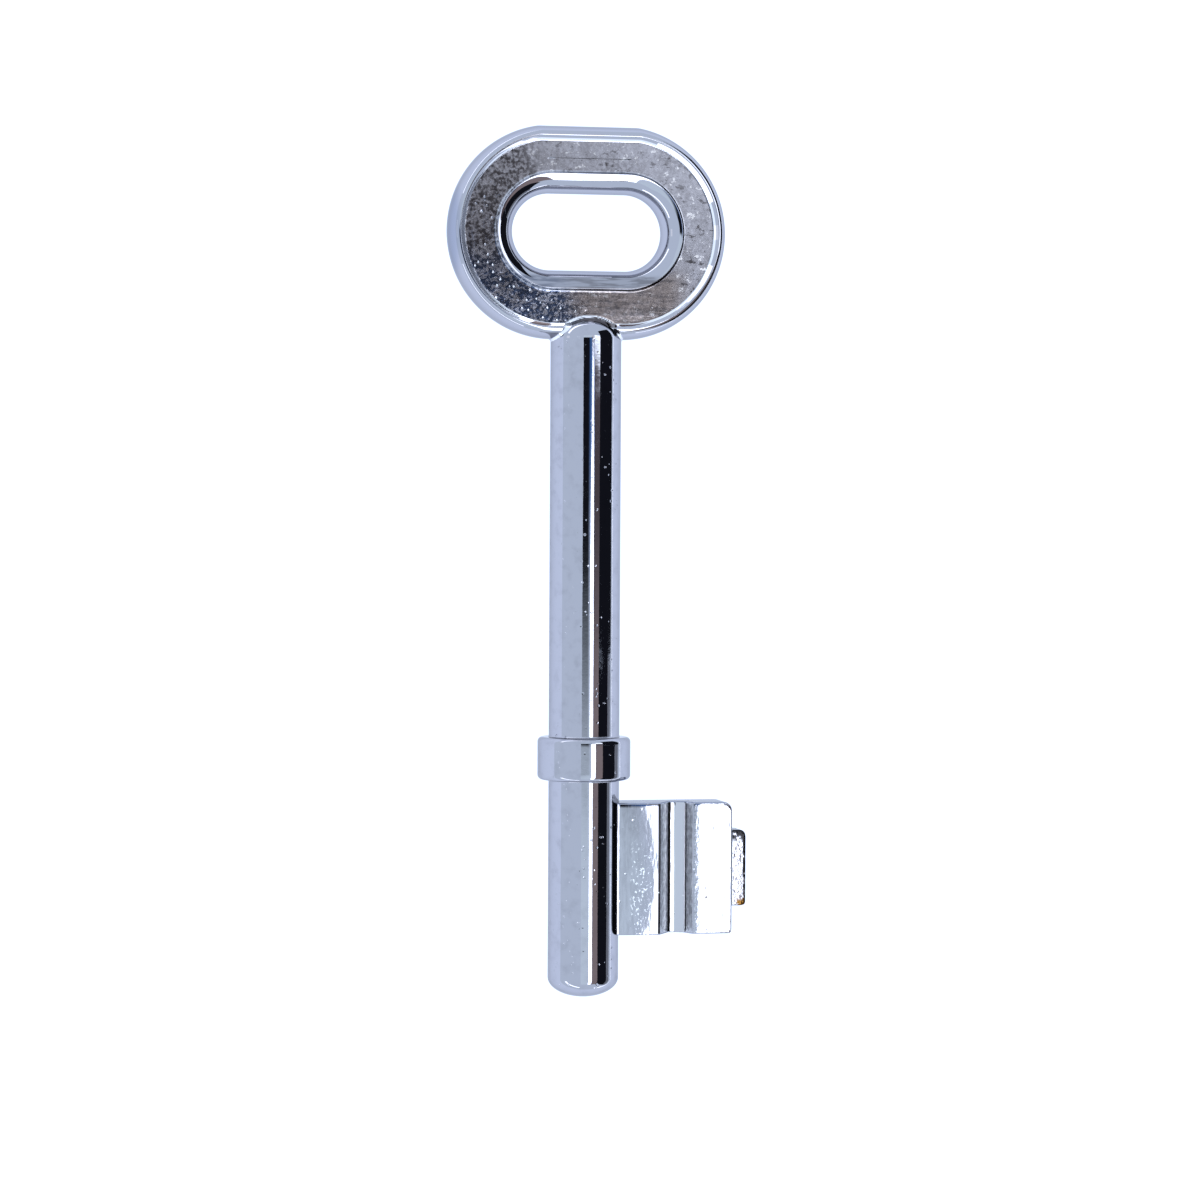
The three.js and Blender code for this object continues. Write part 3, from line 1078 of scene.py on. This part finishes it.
def step_rings(bit, start_x):
    """The rings of the step beyond the plate."""
    edge = bit.edge_round
    half = bit.step_half_thickness
    top = BIT_HIGH.y - bit.step_below_top
    bottom = top - bit.step_height
    end = BIT_HIGH.x - AXIS_X
    stations = [start_x + (end - edge - start_x) * part / STEP_PARTS for part in range(STEP_PARTS + 1)]
    rings = []
    for x in stations + edge_stations(end, edge)[1:]:
        inset = corner_cut(x, end, edge)
        cut = corner_cut(x, end, bit.step_round)
        low = bottom + cut * LOW_CORNER_SHARE + inset
        rings.append(block_ring(x, low, top - cut - inset, -half + inset, half - inset, edge))
    return rings


def make_bit():
    bit = settings("key_bit")
    shank = settings("key_shank")
    heights = face_heights(bit, shank.radius)
    edge_x = heights[-1].x
    rings = plate_rings(bit, shank, edge_x, heights) + step_rings(bit, edge_x)
    count = len(rings[0])
    points = [point for ring in rings for point in ring]
    faces = quads_between(len(rings), count, False)
    faces.append(tuple(range(count)))
    faces.append(tuple(reversed(range(len(points) - count, len(points)))))
    piece = add_mesh("chromed_bit", points, faces)
    piece.data.set_sharp_from_angle(angle=math.radians(SHARP_ANGLE))
    near_x = AXIS_X + bit.groove_start - MASK_BEFORE
    far_x = AXIS_X + outer_land_start(bit) - MASK_SHORT
    low_y = BIT_LOW.y + bit.edge_round
    high_y = BIT_HIGH.y - bit.edge_round
    low_z = AXIS_Z - bit.edge_round
    inside = [near_x < x < far_x and z > low_z and low_y <= y <= high_y for x, y, z in points]
    store_mask(piece, "groove", np.array(inside, float))
    finish_piece(piece, bit_chrome(), "bit")


# The photograph, in pixels of its square frame, and what it says about the camera
FRAME_PIXELS = 1200
PIXELS_PER_MM = 10.864
MIDDLE_ROW_FROM_NOSE = 36.58 * MM
AXIS_LEFT_OF_MIDDLE = 1.413 * MM
CAMERA_DISTANCE = 340 * MM
CAMERA_YAW = 12.0
CAMERA_PITCH = 1.47
CAMERA_LEAN = 0.29
SENSOR = 36.0
CLIP_START = 0.01
CLIP_END = 20.0


def make_camera():
    """A camera above the key, a little to its left, turned so that the bow is on top."""
    yaw = math.radians(CAMERA_YAW)
    pitch = math.radians(CAMERA_PITCH)
    back = Vector((
        -math.sin(yaw) * math.cos(pitch),
        math.sin(pitch),
        math.cos(yaw) * math.cos(pitch),
    ))
    right = Vector((0, 1, 0)).cross(back).normalized()
    up = back.cross(right)
    on_axis = Vector((AXIS_X, SHANK_LOW.y + MIDDLE_ROW_FROM_NOSE, AXIS_Z))
    target = on_axis + right * AXIS_LEFT_OF_MIDDLE
    turn = Matrix((right, up, back)).transposed().to_4x4()
    lean = Matrix.Rotation(math.radians(CAMERA_LEAN), 4, "Z")
    data = bpy.data.cameras.new("overhead_camera")
    data.sensor_width = SENSOR
    data.lens = PIXELS_PER_MM / MM * CAMERA_DISTANCE * SENSOR / FRAME_PIXELS
    data.clip_start = CLIP_START
    data.clip_end = CLIP_END
    camera = bpy.data.objects.new("overhead_camera", data)
    camera.matrix_world = Matrix.Translation(target + back * CAMERA_DISTANCE) @ turn @ lean
    bpy.context.scene.collection.objects.link(camera)
    bpy.context.scene.camera = camera


FLOOR_HALF = 3.0
FLOOR_GAP = 0.02 * MM
BOW_CONTACT_FROM_TOP = 0.8 * MM


def make_floor():
    """The floor, tilted as the key lies on it: it touches the collar and the bow's top edge."""
    collar_y = (COLLAR_LOW.y + COLLAR_HIGH.y) / 2
    rise = (AXIS_Z - BOW_HALF_THICKNESS) - COLLAR_LOW.z
    tilt = math.atan2(rise, BOW_HIGH.y - BOW_CONTACT_FROM_TOP - collar_y)
    half = FLOOR_HALF
    points = [(-half, -half, 0), (half, -half, 0), (half, half, 0), (-half, half, 0)]
    floor = add_mesh("stage_floor", points, [(0, 1, 2, 3)])
    under_collar = Matrix.Translation((0, collar_y, COLLAR_LOW.z - FLOOR_GAP))
    floor.matrix_world = under_collar @ Matrix.Rotation(tilt, 4, "X")
    studio = settings("key_studio")
    floor.data.materials.append(glowing("floor_paper", studio.floor, studio.paper))


def only_reflected(card, light):
    """Gives a card its light and hides it from everything but reflections."""
    card.data.materials.append(light)
    card.visible_camera = False
    card.visible_diffuse = False
    card.visible_shadow = False


def make_card(name, corners, light):
    """A flat card with four corners."""
    only_reflected(add_mesh(name, corners, [(0, 1, 2, 3)]), light)


# The studio. Turns are in degrees, heights and places along the key in metres
STUDIO_HEIGHT = 0.5
DARK_TURNS = (35.8, 83)
DARK_NOSE_TURNS = (35.8, 70)
DIM_TURNS = (70, 81)
TOWARDS_BOW = (-0.03, 0.5)
TOWARDS_NOSE = (-0.5, -0.03)
SHEET_TURNS = (-19, 36)
SHEET_ALONG = (-0.5, 0.2)
LAMP_X = -100 * MM
LAMP_ALONG = (27 * MM, 47 * MM)
LAMP_ABOVE = (24 * MM, 45 * MM)
HORIZON_TURNS = (-70, 150)
LEFT_HORIZON_TURNS = (198, 260)
HORIZON_RADIUS = 0.9
HORIZON_HALF_WIDTH = 3.2
HORIZON_STEP = 3
# The band's lower and upper edge never stand lower than this
LEAST_RISES = (0.4, 1.5)


def make_long_card(name, turns, along, light):
    """A long card beside the camera, seen only in reflections.

    The turns are angles about the shank's axis, in degrees from straight up towards the bit.
    """
    middle = math.radians(sum(turns) / 2)
    half = STUDIO_HEIGHT * math.tan(math.radians((turns[1] - turns[0]) / 2))
    out = Vector((math.sin(middle), 0, math.cos(middle)))
    side = Vector((math.cos(middle), 0, -math.sin(middle)))
    centre = Vector((AXIS_X, 0, AXIS_Z)) + out * STUDIO_HEIGHT
    low_y, high_y = along
    corners = [
        centre + side * across + Vector((0, y, 0))
        for across, y in ((-half, low_y), (half, low_y), (half, high_y), (-half, high_y))
    ]
    make_card(name, corners, glowing(name, light))


def make_side_lamp():
    """A small upright lamp to the left of the bow."""
    low_y, high_y = LAMP_ALONG
    low_z, high_z = (AXIS_Z + height for height in LAMP_ABOVE)
    corners = [(low_y, low_z), (high_y, low_z), (high_y, high_z), (low_y, high_z)]
    light = glowing("side_lamp", settings("key_studio").side)
    make_card("side_lamp", [(LAMP_X, *corner) for corner in corners], light)


def make_horizon(name, turns):
    """A bright band low around the key, which the steps beside the bow's panel reflect.

    It stands higher where the camera leans to, because every step has the same slope. The turns
    go from +X towards +Y, in degrees.
    """
    bow = settings("key_bow")
    slope = math.atan2(bow.panel_depth, bow.rim_slope)
    yaw = math.radians(CAMERA_YAW)
    lean_x = math.sin(yaw)
    lean_y = (BOW_LOW.y + BOW_HIGH.y) / 2 / CAMERA_DISTANCE
    view_z = math.cos(yaw)
    start, end = turns
    steps = max(2, round((end - start) / HORIZON_STEP))
    points = []
    for step in range(steps + 1):
        turn = math.radians(start + (end - start) * step / steps)
        across = -lean_x * math.cos(turn) - lean_y * math.sin(turn)
        facing = math.sin(slope) * across + math.cos(slope) * view_z
        rise = math.degrees(math.asin(2 * math.cos(slope) * facing - view_z))
        x = AXIS_X + HORIZON_RADIUS * math.cos(turn)
        for offset, least in zip((-HORIZON_HALF_WIDTH, HORIZON_HALF_WIDTH), LEAST_RISES):
            z = AXIS_Z + HORIZON_RADIUS * math.tan(math.radians(max(rise + offset, least)))
            points.append((x, HORIZON_RADIUS * math.sin(turn), z))
    faces = [(2 * step, 2 * step + 2, 2 * step + 3, 2 * step + 1) for step in range(steps)]
    only_reflected(add_mesh(name, points, faces), glowing(name, settings("key_studio").horizon))


# Soft borders on the sheet above the key, each from its start to its end
FAR_HAZE_Y = (0.065, 0.08)
SHADE_Y = (-0.085, 0.0)
GLOW_X = (-0.022, 0.062)
GLOW_Y = (-0.022, 0.028)
STRIP_START_X = (0.052, 0.063)
STRIP_END_X = (0.143, 0.152)
STRIP_END_Y = (0.016, 0.02)
STRIP_THINS_Y = (-0.012, 0.038)
STRIP_THINS = 0.02
STRIP_WOBBLES = 0.022
BROWN_X = (0.14, 0.165)
BROWN_Y = (-0.055, 0.012)
COOL_SIDE = (0.15, 0.235)
COOL_SIDE_LEAN = 1.2
WINDOW_X = (0.146, 0.162)
OVER_BOW_X = (0.052, 0.066)
OVER_BOW_Y = (0.036, 0.046)


def overhead_light():
    """What hangs above the key: a strip light, its glow, and dark and brown stretches beside it.

    Over the bow it's warm and dark to the left, cool to the right, with a bright window beyond.
    The places are in metres on the sheet, x across the key and y along it.
    """
    studio = settings("key_studio")
    material = glowing("overhead_light", BLACK)
    where = node(material.node_tree, "ShaderNodeTexCoord", output=3)
    x = place(where, 0)
    y = place(where, 1)
    far = y.above(*FAR_HAZE_Y)
    left = mix_colours(y.above(*SHADE_Y), studio.haze, studio.shade)
    left = mix_colours(far, left, studio.haze)
    glow = mix_colours(y.above(*GLOW_Y), studio.glow, studio.dim_glow)
    glow = mix_colours(far, glow, studio.haze)
    light = mix_colours(x.above(*GLOW_X), left, glow)
    wobble = noise(where, "strip wobble") - 0.5
    thin = y.above(*STRIP_THINS_Y) * STRIP_THINS + wobble * STRIP_WOBBLES
    last = 1 - y.above(*STRIP_END_Y) * noise(where, "strip grain").below(0.44, 0.52)
    strip = (x - thin).above(*STRIP_START_X) * (x + thin * 0.5).below(*STRIP_END_X) * last
    brown = mix_colours(y.above(*BROWN_Y), studio.pale_brown, studio.brown)
    light = mix_colours(x.above(*BROWN_X), light, brown)
    light = mix_colours(strip, light, studio.strip)
    over_bow = mix_colours((x + y * COOL_SIDE_LEAN).above(*COOL_SIDE), studio.warm, studio.cool)
    over_bow = mix_colours(x.above(*WINDOW_X), over_bow, studio.window)
    light = mix_colours(y.above(*OVER_BOW_Y) * x.above(*OVER_BOW_X), light, over_bow)
    feed(material.node_tree.nodes["Principled BSDF"], "Emission Color", light)
    return material


def make_overhead():
    """The level sheet above the key, from the camera's place to the dark card."""
    left, right = (STUDIO_HEIGHT * math.tan(math.radians(turn)) for turn in SHEET_TURNS)
    low_y, high_y = SHEET_ALONG
    corners = [(left, low_y), (right, low_y), (right, high_y), (left, high_y)]
    z = AXIS_Z + STUDIO_HEIGHT
    make_card("overhead_sheet", [(*corner, z) for corner in corners], overhead_light())


def make_room():
    world = bpy.data.worlds.new("pale_room")
    world.use_nodes = True
    background = world.node_tree.nodes["Background"]
    background.inputs["Color"].default_value = (*settings("key_studio").room, 1.0)
    background.inputs["Strength"].default_value = 1.0
    bpy.context.scene.world = world
    bpy.context.scene.view_settings.view_transform = "Standard"


def make_stage():
    studio = settings("key_studio")
    make_room()
    make_floor()
    make_camera()
    make_overhead()
    make_long_card("dark_card", DARK_TURNS, TOWARDS_BOW, studio.shade)
    make_long_card("dark_card_nose", DARK_NOSE_TURNS, TOWARDS_NOSE, studio.shade)
    make_long_card("dim_card", DIM_TURNS, TOWARDS_NOSE, studio.dim)
    make_side_lamp()
    make_horizon("horizon_band", HORIZON_TURNS)
    make_horizon("horizon_band_left", LEFT_HORIZON_TURNS)


class KeyOperator:
    """What the operators below share."""

    bl_options = {"REGISTER", "UNDO"}

    def execute(self, context):
        type(self).make()
        return {"FINISHED"}


class KEY_OT_stage(KeyOperator, bpy.types.Operator):
    """Makes the room, the floor, the camera and the studio cards"""

    bl_idname = "key.stage"
    bl_label = "Stage"
    make = staticmethod(make_stage)


class KEY_OT_bow(KeyOperator, bpy.types.Operator):
    """Makes the oval bow, blended into the shank's round end"""

    bl_idname = "key.bow"
    bl_label = "Bow"
    make = staticmethod(make_bow)


class KEY_OT_shank(KeyOperator, bpy.types.Operator):
    """Makes the round shank with its domed nose"""

    bl_idname = "key.shank"
    bl_label = "Shank"
    make = staticmethod(make_shank)


class KEY_OT_collar(KeyOperator, bpy.types.Operator):
    """Makes the collar"""

    bl_idname = "key.collar"
    bl_label = "Collar"
    make = staticmethod(make_collar)


class KEY_OT_bit(KeyOperator, bpy.types.Operator):
    """Makes the grooved bit with its step"""

    bl_idname = "key.bit"
    bl_label = "Bit"
    make = staticmethod(make_bit)


OPERATORS = (KEY_OT_stage, KEY_OT_bow, KEY_OT_shank, KEY_OT_collar, KEY_OT_bit)


class KEY_PT_pieces(bpy.types.Panel):
    """Lists the pieces of the key and the sizes that can be changed"""

    bl_label = "Mortise Key"
    bl_idname = "KEY_PT_pieces"
    bl_space_type = "VIEW_3D"
    bl_region_type = "UI"
    bl_category = "Key"

    def draw(self, context):
        for operator in OPERATORS:
            self.layout.operator(operator.bl_idname)
        for name, group in PROPERTY_GROUPS.items():
            box = self.layout.box()
            box.label(text=group.__doc__)
            for item in group.__annotations__:
                box.prop(getattr(context.scene, name), item)


def register():
    for name, group in PROPERTY_GROUPS.items():
        bpy.utils.register_class(group)
        setattr(bpy.types.Scene, name, PointerProperty(type=group))
    for item in (*OPERATORS, KEY_PT_pieces):
        bpy.utils.register_class(item)


def unregister():
    for item in reversed((*OPERATORS, KEY_PT_pieces)):
        bpy.utils.unregister_class(item)
    for name, group in reversed(PROPERTY_GROUPS.items()):
        delattr(bpy.types.Scene, name)
        bpy.utils.unregister_class(group)


def main():
    register()
    bpy.ops.key.stage()
    bpy.ops.key.bow()
    bpy.ops.key.shank()
    bpy.ops.key.collar()
    bpy.ops.key.bit()


if __name__ == "__main__":
    main()
